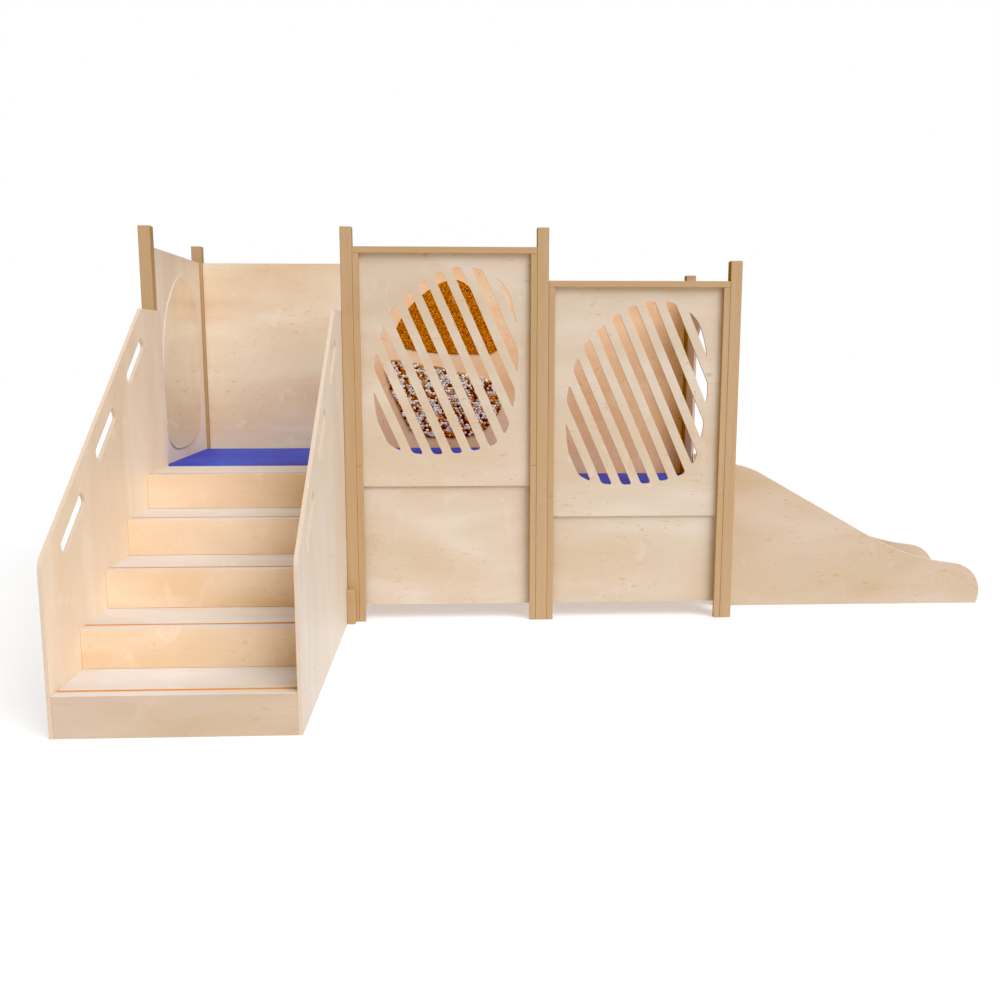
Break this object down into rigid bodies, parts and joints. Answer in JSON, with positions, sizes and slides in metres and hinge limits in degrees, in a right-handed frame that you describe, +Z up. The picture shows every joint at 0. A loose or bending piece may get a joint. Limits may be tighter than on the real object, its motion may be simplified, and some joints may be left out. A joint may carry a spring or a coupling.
{
  "type": "toddler slide",
  "caption": "Birch play loft for toddlers with steps, padded floors, mirror, slotted window panels, touch wall and a low slide",
  "frame": {"origin": "centre of the bounding box's bottom face, on the floor", "axes": "+X from the steps' end towards the slide's toe, +Y from the steps to the back wall, +Z up"},
  "size_m": [3.4244, 1.971, 1.537],
  "materials": {
    "post_wood": "satin clear lacquer on solid light hardwood",
    "birch_ply": "satin clear lacquer on birch plywood",
    "step_ply": "satin clear lacquer on birch plywood",
    "mat_vinyl": "matt blue coated mat cover",
    "mirror": "polished",
    "cork": "natural cork",
    "pebbles": "bonded mixed pebbles"
  },
  "bodies": {
    "root": {"cork_pad": "cork", "deck_high": "birch_ply", "deck_low": "birch_ply", "deck_step_board": "birch_ply", "doorway_wall": "birch_ply", "fixing_block_left": "post_wood", "fixing_block_right": "post_wood", "front_batten_2_left": "post_wood", "front_batten_2_right": "post_wood", "front_batten_3_left": "post_wood", "front_batten_3_right": "post_wood", "front_rail_2": "post_wood", "front_rail_3": "post_wood", "left_batten_front": "post_wood", "left_batten_rear": "post_wood", "left_rail": "post_wood", "left_wall": "birch_ply", "lower_panel_2": "birch_ply", "lower_panel_3": "birch_ply", "mat_1": "mat_vinyl", "mat_2": "mat_vinyl", "mat_3": "mat_vinyl", "pebble_tray": "pebbles", "post_front_1": "post_wood", "post_front_2": "post_wood", "post_front_3": "post_wood", "post_front_4": "post_wood", "post_rear_1": "post_wood", "post_rear_2": "post_wood", "post_rear_3": "post_wood", "post_rear_4": "post_wood", "rear_batten_1_left": "post_wood", "rear_batten_1_right": "post_wood", "rear_batten_2_left": "post_wood", "rear_batten_2_right": "post_wood", "rear_batten_3_left": "post_wood", "rear_batten_3_right": "post_wood", "rear_rail_1": "post_wood", "rear_rail_2": "post_wood", "rear_rail_3": "post_wood", "rear_wall_1": "birch_ply", "rear_wall_2": "birch_ply", "rear_wall_3": "birch_ply", "right_batten_front": "post_wood", "right_batten_rear": "post_wood", "right_rail": "post_wood", "slide_bed": "birch_ply", "slide_side_far": "birch_ply", "slide_side_near": "birch_ply", "slide_toe_rail": "post_wood", "stair_side_left": "birch_ply", "stair_side_right": "birch_ply", "step_1": "step_ply", "step_2": "step_ply", "step_3": "step_ply", "step_4": "step_ply", "step_5": "step_ply", "wall_mirror": "mirror", "window_panel_2": "birch_ply", "window_panel_3": "birch_ply"}
  },
  "joints": []
}
